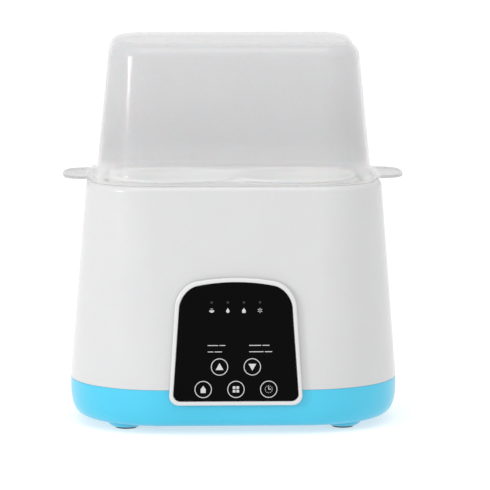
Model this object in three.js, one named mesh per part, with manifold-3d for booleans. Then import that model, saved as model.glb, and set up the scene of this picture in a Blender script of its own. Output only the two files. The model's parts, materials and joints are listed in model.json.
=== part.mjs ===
// Double-bottle warmer and steam sterilizer: a tapered white housing on a blue bowl-shaped base,
// a water tank with a heating plate, a lift-out bottle basket and a tall frosted lid with two ears.
// Millimetres, +Z up, the front faces -Y. The origin is on the floor, under the middle of the body.
import * as THREE from "three";
import { mergeVertices } from "three/addons/utils/BufferGeometryUtils.js";
import Module from "manifold-3d";

const wasm = await Module();
wasm.setup();

// ---- Driving dimensions -------------------------------------------------------------------
const HEIGHT = 231.2; // floor to the top of the lid
const BODY_HALF_WIDTH = 98.5; // at the seam, where the body is widest
const BODY_HALF_DEPTH = 69.5;
const TOP_HALF_WIDTH = 88.6; // at the shoulder under the lid
const TOP_HALF_DEPTH = 65.9;
const BODY_CORNER = 57; // plan corner radius at the seam
const TOP_CORNER = 37;
const GAP = 0.3; // clearance between pieces that touch

const BASE_UNDERSIDE = 3.8;
const SEAM = 27.1; // top edge of the base
const BOWL_INSET = 15; // how far the base's underside pulls in
const BOWL_POWER = 0.6; // 1 would curve the bowl as an ellipse; less is squarer
const TAPER_START = 29.5; // the housing's walls run straight from here ...
const SHOULDER_START = 144.5; // ... to here
const HOUSING_TOP = 148;
const RIM_WIDTH = 4.9; // from the housing's outside to the recess for the tank's rim
const WALL = 2.6; // housing and base
const LEDGE = 144.9; // shelf in the housing that carries the tank's rim
const LEDGE_THICK = 2;

const TANK_TOP = 147.9;
const TANK_FLOOR = 45.4; // inside
const TANK_UNDERSIDE = 43;
const TANK_MOUTH = [77.9, 55.1, 27]; // half-width, half-depth, corner radius inside the mouth
const TANK_BOTTOM = [75.4, 52, 25.4];
const TANK_WALL = 2.4;

const FLANGE_BOTTOM = HOUSING_TOP + GAP; // the lid's flange rests on the housing
const FLANGE_TOP = 149.8;
const FLANGE_INSET = 3.4; // from the housing's outside at the shoulder to the flange's edge
const LID_FOOT = [82.4, 59.6, 31.5]; // outside of the lid's wall at the flange
const LID_CROWN = [74.2, 50.5, 22]; // outside of the wall if it ran straight to the top
const LID_ROUND = 8.5; // radius between the lid's walls and its top
const LID_WALL = 1.8;
const EAR_TIP = 102.8;
const EAR_HALF_DEPTH = 25;

const CUP_SPACING = 74; // between the axes of the two bottle cups
const CUP_INNER = 34.6;
const CUP_OUTER = 36.2;
const CUP_RIM = 38; // the rim that hangs on the deck
const CUP_TOP = 148.1;
const CUP_BOTTOM = 45.8;
const CUP_FLOOR = 50;
const DECK = [75.2, 52.4, 24.3];
const DECK_BOTTOM = 144.5;
const DECK_TOP = 146.5;
const FINGER_SLOT = [18, 4.5, 4.4]; // half-width, half-depth and corner radius
const FINGER_SLOT_Y = 44.5;

const PLATE = [51.8, 33.8, 33.4]; // heating plate's flange
const PLATE_BOSS = [45.4, 27.4, 27.1];
const PLATE_BOTTOM = 38.6;

const FOOT_X = 65;
const FOOT_Y = 40;
const FOOT_PAD_RADIUS = 6.3;
const PILLAR_X = 46; // pillars between the tank and the base
const PILLAR_Y = 36;
const PILLAR_BOTTOM = 9.9;
const STUD_Y = 20; // studs under the heating plate that hold the heater clamp
const BOARD_X = 54; // posts that carry the power board
const BOARD_Y = 24;
const BOARD_BOTTOM = 13.3;
const BOARD_THICK = 1.6;
const GLAND_X = 30;
const GLAND_Z = 14.5;

const PANEL_Z = 56.4; // height of the middle of the control panel
const LENS_HALF_HEIGHT = 35.3;
const LENS_HALF_BOTTOM = 37.2; // the panel is wider at its foot
const LENS_HALF_TOP = 32.6;
const LENS_SAG = 4.7; // how far the arched top edge drops to its shoulders
const BEZEL_RIM = 2.7; // width of the white surround
const BEZEL_FRONT = 3.3; // how far it stands off the housing
const LENS_FRONT = 2.9;
const LENS_BACK = 1.5;
const COLLAR_BACK = -6;
const KEY_PITCH = 19.1;
const KEY_ROW_LOW = -28.3; // from the middle of the panel
const KEY_ROW_HIGH = -14.9;
const DISPLAY_SCREWS = [[-31.8, -25.5], [31.8, -25.5], [27, 26.2], [-27, 26.2]];
const STATUS_ROW = 23.5;
const STATUS_PITCH = 9.5;

const CORNER_STEPS = 6; // facets in a plan corner
const ROUND_STEPS = 3; // facets in an edge rounding

const COLOURS = {
  white: { color: 0xe9e9e8, roughness: 0.25, metalness: 0 },
  blue: { color: 0x5fccf0, roughness: 0.35, metalness: 0 },
  frosted: { color: 0xdcdcdc, roughness: 0.4, metalness: 0 },
  black: { color: 0x0c0c0d, roughness: 0.08, metalness: 0 },
  rubber: { color: 0x26282b, roughness: 0.8, metalness: 0 },
  silicone: { color: 0xd9d9d4, roughness: 0.6, metalness: 0 },
  steel: { color: 0xb9bcc0, roughness: 0.3, metalness: 1 },
  aluminium: { color: 0xc6c8ca, roughness: 0.4, metalness: 1 },
  board: { color: 0x1f5f3c, roughness: 0.5, metalness: 0 },
  component: { color: 0x2c2c2e, roughness: 0.5, metalness: 0 },
  yellow: { color: 0xd8b23a, roughness: 0.4, metalness: 0 },
  led: { color: 0xe8e2d2, roughness: 0.3, metalness: 0 },
  wire: { color: 0xb23a34, roughness: 0.5, metalness: 0 },
};

const part = new THREE.Group();

// ---- Solids -------------------------------------------------------------------------------
function solid(geometry) {
  const bare = geometry.clone();
  bare.deleteAttribute("normal");
  bare.deleteAttribute("uv");
  const merged = mergeVertices(bare, 1e-4);
  const triVerts = new Uint32Array(merged.index.array);
  const vertProperties = merged.attributes.position.array;
  return new wasm.Manifold(new wasm.Mesh({ numProp: 3, vertProperties, triVerts }));
}

function geometryOf(body) {
  const mesh = body.getMesh();
  const geometry = new THREE.BufferGeometry();
  geometry.setAttribute("position", new THREE.BufferAttribute(mesh.vertProperties, 3));
  geometry.setIndex(new THREE.BufferAttribute(mesh.triVerts, 1));
  geometry.computeVertexNormals();
  return geometry;
}

const join = (first, ...others) => others.reduce((body, other) => body.add(other), first);
const cut = (first, ...others) => others.reduce((body, other) => body.subtract(other), first);

function addPiece(name, look, body, parent = part) {
  const mesh = new THREE.Mesh(geometryOf(body), new THREE.MeshStandardMaterial(COLOURS[look]));
  mesh.name = name;
  parent.add(mesh);
  return mesh;
}

// A horizontal rounded rectangle [half-width, half-depth, corner radius] at height z, anticlockwise.
function ring([a, b, r], z) {
  const points = [];
  for (let corner = 0; corner < 4; corner++) {
    const x = corner === 0 || corner === 3 ? a - r : r - a;
    const y = corner < 2 ? b - r : r - b;
    for (let i = 0; i <= CORNER_STEPS; i++) {
      const angle = ((corner + i / CORNER_STEPS) * Math.PI) / 2;
      points.push(new THREE.Vector3(x + r * Math.cos(angle), y + r * Math.sin(angle), z));
    }
  }
  return points;
}

// Skins a stack of [section, height] rings. A closed loft joins its last ring to its first, as a tube does;
// an open one is capped at both ends.
function loft(levels, closed = false) {
  const rings = levels.map(([section, z]) => ring(section, z));
  const count = rings[0].length;
  const positions = rings.flat().flatMap((p) => p.toArray());
  const faces = [];
  for (let k = 0; k < (closed ? rings.length : rings.length - 1); k++) {
    const low = k * count;
    const high = ((k + 1) % rings.length) * count;
    for (let i = 0; i < count; i++) {
      const j = (i + 1) % count;
      faces.push(low + i, low + j, high + j, low + i, high + j, high + i);
    }
  }
  const last = (rings.length - 1) * count;
  for (let i = 1; i < count - 1 && !closed; i++) {
    faces.push(0, i + 1, i, last, last + i, last + i + 1);
  }
  const geometry = new THREE.BufferGeometry();
  geometry.setAttribute("position", new THREE.Float32BufferAttribute(positions, 3));
  geometry.setIndex(faces);
  return solid(geometry);
}

const grow = ([a, b, r], by) => [a + by, b + by, r + by];

function between(low, high, share) {
  return low.map((value, i) => THREE.MathUtils.lerp(value, high[i], share));
}

const prism = (section, z0, z1) => loft([[section, z0], [section, z1]]);

// A solid of revolution about a vertical axis, from [radius, z] points that start and end on the axis.
function turned(points, x = 0, y = 0, sides = 20) {
  const profile = points.map(([r, z]) => new THREE.Vector2(r, z));
  const geometry = new THREE.LatheGeometry(profile, sides);
  geometry.rotateX(Math.PI / 2).translate(x, y, 0);
  return solid(geometry);
}

// Turned solids that don't touch the axis, such as rings and cups, close on themselves.
function turnedRing(points, x = 0, y = 0, sides = 20) {
  return turned([...points, points[0]], x, y, sides);
}

const rod = (r, z0, z1, x = 0, y = 0, sides = 20) =>
  turned([[0, z0], [r, z0], [r, z1], [0, z1]], x, y, sides);

function box(width, depth, height, x, y, z) {
  return solid(new THREE.BoxGeometry(width, depth, height).translate(x, y, z));
}

// A wire or strip of a given section along a curve through the points.
function alongPath(shape, points, steps) {
  const path = new THREE.CatmullRomCurve3(points.map((p) => new THREE.Vector3(...p)));
  const geometry = new THREE.ExtrudeGeometry(shape, { steps, extrudePath: path, bevelEnabled: false });
  return solid(geometry);
}

const corners = (x, y) => [[-x, -y], [x, -y], [x, y], [-x, y]];
const feet = corners(FOOT_X, FOOT_Y);
const pillars = corners(PILLAR_X, PILLAR_Y);
const boardPosts = corners(BOARD_X, BOARD_Y);

function rods(places, r, z0, z1, sides) {
  return places.map(([x, y]) => rod(r, z0, z1, x, y, sides));
}

// A shape lathed about the vertical axis moves onto the cord's axis, with its top towards the rear.
const onGlandAxis = new THREE.Matrix4().makeRotationX(-Math.PI / 2).setPosition(GLAND_X, 0, GLAND_Z);

// ---- Outer body ---------------------------------------------------------------------------
const seamSection = [BODY_HALF_WIDTH, BODY_HALF_DEPTH, BODY_CORNER];
const shoulderSection = [TOP_HALF_WIDTH, TOP_HALF_DEPTH, TOP_CORNER];

// The housing's outside at height z, between the seam and the shoulder.
function housingSection(z) {
  const share = Math.max(0, (z - TAPER_START) / (SHOULDER_START - TAPER_START));
  return between(seamSection, shoulderSection, share);
}

// The panel's frame: its x runs right, its y up the front wall and its z out of it.
const frontLean = Math.atan((BODY_HALF_DEPTH - TOP_HALF_DEPTH) / (SHOULDER_START - TAPER_START));
const panel = new THREE.Group();
panel.position.set(0, -housingSection(PANEL_Z)[1], PANEL_Z);
panel.rotation.x = Math.PI / 2 - frontLean;
panel.updateMatrix();
part.add(panel);

// The lens outline, grown by some millimetres: a trapezium with round corners and an arched top.
function panelOutline(by) {
  const foot = LENS_HALF_BOTTOM + by;
  const head = LENS_HALF_TOP + by;
  const half = LENS_HALF_HEIGHT + by;
  const shoulder = half - LENS_SAG;
  const low = 4.5 + by * 0.7; // size of the bottom bends
  const high = 10 + by * 0.7; // and of the top ones
  const slack = 0.45; // how far a bend stays from its square corner
  const side = (y) => THREE.MathUtils.mapLinear(y, -half, shoulder, foot, head);
  const top = (x) => half - LENS_SAG * (x / head) ** 2;
  const lowPull = low * slack - half;
  const highPull = shoulder - high * slack;
  const brow = head - high; // where the arched top starts
  const browPull = head - high * slack;
  const browHeight = top(head - high * 0.5);
  const shape = new THREE.Shape();
  shape.moveTo(low - foot, -half);
  shape.lineTo(foot - low, -half);
  shape.bezierCurveTo(foot - low * slack, -half, side(-half), lowPull, side(low - half), low - half);
  shape.lineTo(side(shoulder - high), shoulder - high);
  shape.bezierCurveTo(side(shoulder), highPull, browPull, browHeight, brow, top(brow));
  for (const share of [0.5, 0, -0.5, -1]) {
    shape.lineTo(brow * share, top(brow * share));
  }
  const left = -side(shoulder - high);
  shape.bezierCurveTo(-browPull, browHeight, -side(shoulder), highPull, left, shoulder - high);
  shape.lineTo(-side(low - half), low - half);
  shape.bezierCurveTo(-side(-half), lowPull, low * slack - foot, -half, low - foot, -half);
  return shape;
}

function panelSlab(by, from, to) {
  const settings = { depth: to - from, bevelEnabled: false, curveSegments: 5 };
  return solid(new THREE.ExtrudeGeometry(panelOutline(by), settings).translate(0, 0, from));
}

function panelWindow() {
  return panelSlab(GAP, -10, 5).transform(panel.matrix.elements);
}

function makeHousing() {
  const inside = (z) => grow(housingSection(z), -WALL);
  const rounding = [];
  const radius = HOUSING_TOP - SHOULDER_START;
  for (let i = 1; i <= ROUND_STEPS; i++) {
    const angle = (i / ROUND_STEPS) * (Math.PI / 2);
    const section = grow(shoulderSection, radius * (Math.cos(angle) - 1));
    rounding.push([section, SHOULDER_START + radius * Math.sin(angle)]);
  }
  const rimInner = grow(shoulderSection, -RIM_WIDTH);
  const opening = grow(TANK_MOUTH, TANK_WALL + 0.4);
  const underLedge = LEDGE - LEDGE_THICK;
  const levels = [
    [seamSection, SEAM + GAP],
    [seamSection, TAPER_START],
    [housingSection(SHOULDER_START), SHOULDER_START],
    ...rounding,
    [rimInner, HOUSING_TOP],
    [rimInner, LEDGE],
    [opening, LEDGE],
    [opening, underLedge],
    [inside(underLedge), underLedge],
    [inside(TAPER_START), TAPER_START],
    [inside(SEAM), SEAM + GAP],
  ];
  addPiece("housing", "white", cut(loft(levels, true), panelWindow()));
}

// The base's outside below the seam: a quarter of a squared ellipse that ends in the flat underside.
function bowlSection(angle) {
  const inset = BOWL_INSET * (1 - Math.cos(angle) ** BOWL_POWER);
  return [grow(seamSection, -inset), SEAM - (SEAM - BASE_UNDERSIDE) * Math.sin(angle) ** BOWL_POWER];
}

function footDome(x, y) {
  const profile = [[0, 0.9], [7.2, 0.9], [10, 2.2], [11.8, 4.6], [12.3, 8], [0, 8]];
  return turned(profile, x, y, 18);
}

function makeBase() {
  const floor = BASE_UNDERSIDE + 2.2;
  const outside = [];
  const inside = [];
  const steps = 6;
  for (let i = 0; i <= steps; i++) {
    const [section, z] = bowlSection(((steps - i) / steps) * (Math.PI / 2));
    outside.push([section, z]);
    const drop = (SEAM - z) / (SEAM - BASE_UNDERSIDE);
    inside.push([grow(section, -WALL), SEAM - drop * (SEAM - floor)]);
  }
  const lip = grow(seamSection, -WALL - GAP);
  const levels = [
    ...outside,
    [lip, SEAM],
    [lip, SEAM + 4],
    [grow(lip, -1.6), SEAM + 4],
    [grow(lip, -1.6), SEAM],
    ...inside.slice(0, -2).reverse(),
  ];
  const shell = loft(levels);
  const domes = feet.map(([x, y]) => footDome(x, y));
  const padSeats = rods(feet, FOOT_PAD_RADIUS + GAP, 0, 1.9, 18);
  const posts = rods(boardPosts, 3.6, floor - 1, BOARD_BOTTOM - GAP, 14);
  const postHoles = rods(boardPosts, 1.6, floor + 1, BOARD_BOTTOM, 10);
  const bosses = rods(pillars, 5.4, floor - 1, PILLAR_BOTTOM - GAP, 16);
  const screwWell = [[0, 0], [4, 0], [4, 6.8], [2, 6.8], [2, 12], [0, 12]];
  const bossHoles = pillars.map(([x, y]) => turned(screwWell, x, y, 16));
  const vents = [-2, -1, 0, 1, 2].map((i) => box(3.2, 30, 10, i * 9, 0, 5));
  const glandPad = rod(9.2, 56, 68.2).transform(onGlandAxis.elements);
  const glandCuts = [rod(5.3, 50, 75), rod(7, 50, 58), rod(7.8, 68.2, 76)];
  const glandHoles = glandCuts.map((hole) => hole.transform(onGlandAxis.elements));
  const solidBase = join(shell, ...domes, ...posts, ...bosses, glandPad);
  const holes = [...padSeats, ...postHoles, ...bossHoles, ...vents, ...glandHoles, panelWindow()];
  const base = cut(solidBase, ...holes);
  addPiece("base_shell", "blue", base);
}

function makeFeetAndScrews() {
  const names = ["front_left", "front_right", "rear_right", "rear_left"];
  feet.forEach(([x, y], i) => {
    addPiece(`foot_pad_${names[i]}`, "rubber", rod(FOOT_PAD_RADIUS, 0, 1.6, x, y, 18));
  });
  const profile = [[0, 4.3], [3.4, 4.3], [3.6, 4.8], [3.6, 6.5], [1.7, 6.5], [1.7, 25], [0, 26.5]];
  pillars.forEach(([x, y], i) => {
    addPiece(`base_screw_${names[i]}`, "steel", turned(profile, x, y, 14));
  });
}

// The bush that the cord would run through: a flange inside the base and one outside it.
function makeGland() {
  const bore = 3.3;
  const neck = 5;
  const inside = [[bore, 55.6], [6.6, 55.6], [6.6, 57.7], [neck, 57.7]];
  const outside = [[neck, 68.5], [7.4, 68.5], [6.9, 71.2], [4.6, 72], [bore, 72]];
  addPiece("cord_gland", "rubber", turnedRing([...inside, ...outside]).transform(onGlandAxis.elements));
}

// ---- Water tank and heater ------------------------------------------------------------------
function makeTank() {
  const mouth = TANK_MOUTH;
  const outerMouth = grow(mouth, TANK_WALL);
  const outerBottom = grow(TANK_BOTTOM, TANK_WALL);
  const flange = grow(mouth, 5.6);
  const flangeBottom = TANK_TOP - 1.7;
  const corner = 1.8; // chamfer between the walls and the floor, inside
  const levels = [
    [grow(outerBottom, -corner), TANK_UNDERSIDE],
    [outerBottom, TANK_UNDERSIDE + corner],
    [outerMouth, flangeBottom],
    [flange, flangeBottom],
    [flange, TANK_TOP],
    [mouth, TANK_TOP],
    [TANK_BOTTOM, TANK_FLOOR + corner],
    [grow(TANK_BOTTOM, -corner), TANK_FLOOR],
  ];
  const plateHole = prism(grow(PLATE_BOSS, 0.8), 30, 60);
  addPiece("water_tank", "white", cut(loft(levels), plateHole));
  pillars.forEach(([x, y], i) => {
    const screwHole = rod(2, 0, 28, x, y, 14);
    const pillar = cut(rod(4, PILLAR_BOTTOM, TANK_UNDERSIDE - GAP, x, y, 16), screwHole);
    addPiece(`tank_pillar_${i + 1}`, "white", pillar);
  });

  const sealOuter = grow(mouth, 5);
  const sealInner = grow(mouth, TANK_WALL + 0.3);
  const sealSlab = prism(sealOuter, LEDGE + GAP, flangeBottom - GAP);
  addPiece("tank_seal", "silicone", cut(sealSlab, prism(sealInner, LEDGE, flangeBottom)));
}

function makeHeater() {
  const flangeTop = PLATE_BOTTOM + 2.6;
  const bossTop = TANK_FLOOR - 0.4;
  const slab = loft([
    [PLATE, PLATE_BOTTOM],
    [PLATE, flangeTop],
    [PLATE_BOSS, flangeTop],
    [PLATE_BOSS, bossTop - 0.8],
    [grow(PLATE_BOSS, -0.8), bossTop],
  ]);
  const studs = [-STUD_Y, STUD_Y].map((y) => rod(2, 25, PLATE_BOTTOM + 1, 0, y, 12));
  addPiece("heating_plate", "aluminium", join(slab, ...studs));

  const gasketOuter = grow(PLATE, -0.4);
  const gasketInner = grow(PLATE_BOSS, 1.6);
  const gasket = cut(
    prism(gasketOuter, flangeTop + GAP, TANK_UNDERSIDE - GAP),
    prism(gasketInner, flangeTop, TANK_UNDERSIDE),
  );
  addPiece("plate_gasket", "silicone", gasket);

  const heaterTop = PLATE_BOTTOM - GAP;
  const heaterBottom = heaterTop - 6.3;
  addPiece("ptc_heater", "aluminium", prism([32, 10, 1.5], heaterBottom, heaterTop));

  const clampTop = heaterBottom - GAP;
  const clampBottom = clampTop - 1.5;
  const clampHoles = [-STUD_Y, STUD_Y].map((y) => rod(2.4, 20, 40, 0, y, 12));
  addPiece("heater_clamp", "steel", cut(prism([9, 26, 3], clampBottom, clampTop), ...clampHoles));
  const nutTop = clampBottom - GAP;
  [-STUD_Y, STUD_Y].forEach((y, i) => {
    const hexagon = rod(4, nutTop - 3, nutTop, 0, y, 6);
    addPiece(`clamp_nut_${i + 1}`, "steel", cut(hexagon, rod(2.3, 20, 40, 0, y, 12)));
  });

  const fuse = rod(2, -5.5, 5.5, 0, 0, 12).rotate([0, 90, 0]).translate([-41, 12, heaterTop - 2]);
  addPiece("thermal_fuse", "steel", fuse);
  addPiece("temperature_sensor", "component", rod(3, PLATE_BOTTOM - 5, PLATE_BOTTOM - GAP, 42, 0, 14));
}

// ---- Electronics --------------------------------------------------------------------------
function makePowerBoard() {
  const top = BOARD_BOTTOM + BOARD_THICK;
  const holes = rods(boardPosts, 1.7, 0, 30, 10);
  addPiece("power_board", "board", cut(prism([60, 29, 2], BOARD_BOTTOM, top), ...holes));
  const rest = top + GAP;
  const shank = [[0, 8], [1.2, 8.8], [1.2, rest]];
  const head = [[2.7, rest], [2.7, top + 1.9], [0, top + 2.4]];
  boardPosts.forEach(([x, y], i) => {
    addPiece(`board_screw_${i + 1}`, "steel", turned([...shank, ...head], x, y, 12));
  });

  addPiece("transformer", "yellow", box(22, 20, 14, -38, 0, rest + 7));
  addPiece("relay", "component", box(19, 15, 15, 40, 8, rest + 7.5));
  addPiece("filter_capacitor", "yellow", box(16, 8, 11, 12, 17, rest + 5.5));
  const buzzerHole = rod(1.2, rest + 6.5, rest + 9, -14, -14, 10);
  addPiece("buzzer", "component", cut(rod(6, rest, rest + 8, -14, -14, 20), buzzerHole));
  addPiece("mains_terminal", "white", box(10, 16, 9, 20, -2, rest + 4.5));
}

function rectangle(halfWidth, halfHeight) {
  return new THREE.Shape(corners(halfWidth, halfHeight).map(([x, y]) => new THREE.Vector2(x, y)));
}

function wireSection() {
  const shape = new THREE.Shape();
  shape.absarc(0, 0, 1, 0, Math.PI * 2);
  return new THREE.Shape(shape.getSpacedPoints(8).slice(0, -1));
}

function makeWiring() {
  const wire = wireSection();
  const live = [
    [33.6, -3, 35], [38, -5, 34], [39.5, -9, 30.5],
    [33, -10.5, 27.5], [24, -7, 27], [20, -5, 25.6],
  ];
  const neutral = [
    [33.6, 5, 35], [37, 4.6, 34.4], [39, 1.6, 32.8],
    [35, -2, 31.2], [28, -1.6, 28.4], [20, 2, 25.6],
  ];
  const sensor = [[42, -4.4, 36], [47, -9, 34], [50, -14, 27], [49, -16, 21], [47, -16, 16.4]];
  const ribbon = [
    [-34, -60.8, 36], [-34, -57, 34], [-34, -54, 28], [-34, -48, 22.5],
    [-34, -36, 20], [-34, -27, 18.5], [-34, -24.5, 15.3],
  ];
  addPiece("heater_lead_live", "wire", alongPath(wire, live, 14));
  addPiece("heater_lead_neutral", "wire", alongPath(wire, neutral, 14));
  addPiece("sensor_lead", "component", alongPath(wire, sensor, 12));
  addPiece("display_ribbon", "component", alongPath(rectangle(6, 0.5), ribbon, 16));
}

// ---- Control panel, in the panel's own frame --------------------------------------------------
function makePanel() {
  const plate = panelSlab(BEZEL_RIM, GAP, BEZEL_FRONT);
  const collar = panelSlab(-0.1, COLLAR_BACK, GAP + 0.5);
  const pocket = panelSlab(GAP, LENS_BACK - GAP, BEZEL_FRONT + 1);
  const window = panelSlab(-2.4, COLLAR_BACK - 1, BEZEL_FRONT + 1);
  const bosses = rods(DISPLAY_SCREWS, 3, COLLAR_BACK, 0.9, 14);
  const bossHoles = rods(DISPLAY_SCREWS, 1.5, COLLAR_BACK - 1, -1.2, 10);
  const surround = cut(join(plate, collar), pocket, window);
  addPiece("panel_bezel", "white", cut(join(surround, ...bosses), ...bossHoles), panel);
  addPiece("touch_lens", "black", panelSlab(0, LENS_BACK, LENS_FRONT), panel);

  const boardFront = COLLAR_BACK - GAP;
  const boardBack = boardFront - BOARD_THICK;
  const board = box(69, 62, BOARD_THICK, 0, 0, (boardFront + boardBack) / 2);
  addPiece("display_board", "board", cut(board, ...rods(DISPLAY_SCREWS, 1.5, -20, 0, 10)), panel);
  const head = [[0, boardBack - 2], [2.4, boardBack - 1.7], [2.4, boardBack - GAP]];
  const shank = [[1.1, boardBack - GAP], [1.1, -2.5], [0, -1.8]];
  DISPLAY_SCREWS.forEach(([x, y], i) => {
    addPiece(`display_screw_${i + 1}`, "steel", turned([...head, ...shank], x, y, 12), panel);
  });

  const room = LENS_BACK - GAP; // behind the lens
  const rest = boardFront + GAP;
  const digits = box(40, 15, room - rest - GAP, 0, 9, (room - GAP + rest) / 2);
  addPiece("digit_display", "component", digits, panel);
  const base = [[0, rest], [1.9, rest], [1.9, rest + 1.1]];
  const dome = [[1.5, rest + 1.1], [1.5, -1.6], [0, -0.2]];
  [-1.5, -0.5, 0.5, 1.5].forEach((step, i) => {
    const led = turned([...base, ...dome], step * STATUS_PITCH, STATUS_ROW, 12);
    addPiece(`status_led_${i + 1}`, "led", led, panel);
  });

  // Each key is a fixed touch area on the lens, with a spring electrode between it and the board.
  const lowKeys = [-1, 0, 1].map((step) => [step * KEY_PITCH, KEY_ROW_LOW]);
  const highKeys = [-0.5, 0.5].map((step) => [step * KEY_PITCH, KEY_ROW_HIGH]);
  [...lowKeys, ...highKeys].forEach(([x, y], i) => {
    addPiece(`touch_spring_${i + 1}`, "steel", touchSpring(x, y, rest, room), panel);
  });
}

// A coil electrode, drawn as a ribbed sleeve that widens towards the lens.
function touchSpring(x, y, from, to) {
  const turns = 3;
  const outer = [];
  for (let i = 0; i <= turns; i++) {
    const z = THREE.MathUtils.lerp(from, to, i / turns);
    const radius = THREE.MathUtils.lerp(2.8, 3.9, i / turns);
    outer.push([radius, z]);
    if (i < turns) outer.push([radius - 0.35, z + (to - from) / turns / 2]);
  }
  const inner = [[3.1, to], [2, from]];
  return turnedRing([...outer, ...inner], x, y, 10);
}

// ---- Bottle basket ------------------------------------------------------------------------
// A cup hangs in the deck by its rim, which is cut straight where it meets the other cup's.
function bottleCup(side) {
  const x = (side * CUP_SPACING) / 2;
  const cup = turned([
    [0, CUP_BOTTOM], [CUP_OUTER, CUP_BOTTOM], [CUP_OUTER, DECK_TOP + GAP], [CUP_RIM, DECK_TOP + GAP],
    [CUP_RIM, CUP_TOP], [CUP_INNER, CUP_TOP], [CUP_INNER, CUP_FLOOR], [0, CUP_FLOOR],
  ], x, 0, 32);
  const cuts = [
    rod(26, CUP_BOTTOM - 2, CUP_FLOOR - 1.8, x, 0, 24),
    rod(7, CUP_BOTTOM, CUP_FLOOR + 1, x, 0, 12),
    box(2, 40, 8, -side * (1 - GAP), 0, CUP_TOP),
  ];
  for (let i = 0; i < 6; i++) {
    const angle = ((i + 0.5) / 6) * Math.PI * 2;
    cuts.push(rod(5, CUP_BOTTOM, CUP_FLOOR + 1, x + 18 * Math.cos(angle), 18 * Math.sin(angle), 8));
  }
  const slotHeight = 60;
  const slotMiddle = 90;
  cuts.push(box(10, 12, slotHeight, x + side * CUP_OUTER, 0, slotMiddle));
  cuts.push(box(12, 10, slotHeight, x, CUP_OUTER, slotMiddle));
  cuts.push(box(12, 10, slotHeight, x, -CUP_OUTER, slotMiddle));
  return cut(cup, ...cuts);
}

function makeBasket() {
  const through = (section, x, y) => prism(section, DECK_BOTTOM - 1, DECK_TOP + 1).translate([x, y, 0]);
  const axes = [[-CUP_SPACING / 2, 0], [CUP_SPACING / 2, 0]];
  const holes = [
    ...rods(axes, CUP_OUTER + GAP, DECK_BOTTOM - 1, DECK_TOP + 1, 32),
    box(12, 24, 8, 0, 0, DECK_TOP),
    ...corners(66, 39).map(([x, y]) => through([6, 4.5, 4.2], x, y)),
    ...[-FINGER_SLOT_Y, FINGER_SLOT_Y].map((y) => through(FINGER_SLOT, 0, y)),
  ];
  addPiece("basket_deck", "white", cut(prism(DECK, DECK_BOTTOM, DECK_TOP), ...holes));
  addPiece("bottle_cup_left", "white", bottleCup(-1));
  addPiece("bottle_cup_right", "white", bottleCup(1));
}

// ---- Lid ----------------------------------------------------------------------------------
function lidSection(z, inset = 0) {
  const share = (z - FLANGE_TOP) / (HEIGHT - FLANGE_TOP);
  return grow(between(LID_FOOT, LID_CROWN, share), -inset);
}

function lidRounding(radius, inset, top) {
  const levels = [];
  for (let i = 0; i <= ROUND_STEPS + 1; i++) {
    const angle = (i / (ROUND_STEPS + 1)) * (Math.PI / 2);
    const z = top - radius * (1 - Math.sin(angle));
    levels.push([lidSection(z, inset + radius * (1 - Math.cos(angle))), z]);
  }
  return levels;
}

function earSlab(side) {
  const root = LID_FOOT[0] - 1;
  const reach = EAR_TIP - root;
  const power = 0.62; // 1 would give half an ellipse; less is blunter
  const points = [];
  for (let i = 0; i <= 16; i++) {
    const angle = (i / 16 - 0.5) * Math.PI;
    const y = EAR_HALF_DEPTH * Math.sign(angle) * Math.abs(Math.sin(angle)) ** power;
    points.push(new THREE.Vector2(side * (root + reach * Math.cos(angle) ** power), y));
  }
  const settings = { depth: FLANGE_TOP - FLANGE_BOTTOM, bevelEnabled: false };
  const slab = new THREE.ExtrudeGeometry(new THREE.Shape(points), settings);
  return solid(slab.translate(0, 0, FLANGE_BOTTOM));
}

function makeLid() {
  const flange = grow(shoulderSection, -FLANGE_INSET);
  const skirtOuter = grow(TANK_MOUTH, -0.7);
  const skirtInner = grow(skirtOuter, -1.6);
  const skirtBottom = 143.9;
  const levels = [
    ...lidRounding(LID_ROUND - LID_WALL, LID_WALL, HEIGHT - LID_WALL).reverse(),
    [lidSection(FLANGE_TOP, LID_WALL), FLANGE_TOP],
    [skirtInner, FLANGE_TOP],
    [skirtInner, skirtBottom],
    [skirtOuter, skirtBottom],
    [skirtOuter, FLANGE_BOTTOM],
    [flange, FLANGE_BOTTOM],
    [flange, FLANGE_TOP],
    [lidSection(FLANGE_TOP), FLANGE_TOP],
    ...lidRounding(LID_ROUND, 0, HEIGHT),
  ];
  addPiece("lid", "frosted", join(loft(levels), earSlab(-1), earSlab(1)));
}

makeHousing();
makeBase();
makeFeetAndScrews();
makeGland();
makeTank();
makeHeater();
makePowerBoard();
makeWiring();
makePanel();
makeBasket();
makeLid();

export default part;
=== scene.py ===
"""Steam sterilizer and warmer for two baby bottles, dressed for a product picture."""

import json
import math

import bmesh
import bpy
from mathutils import Matrix, Vector


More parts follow.
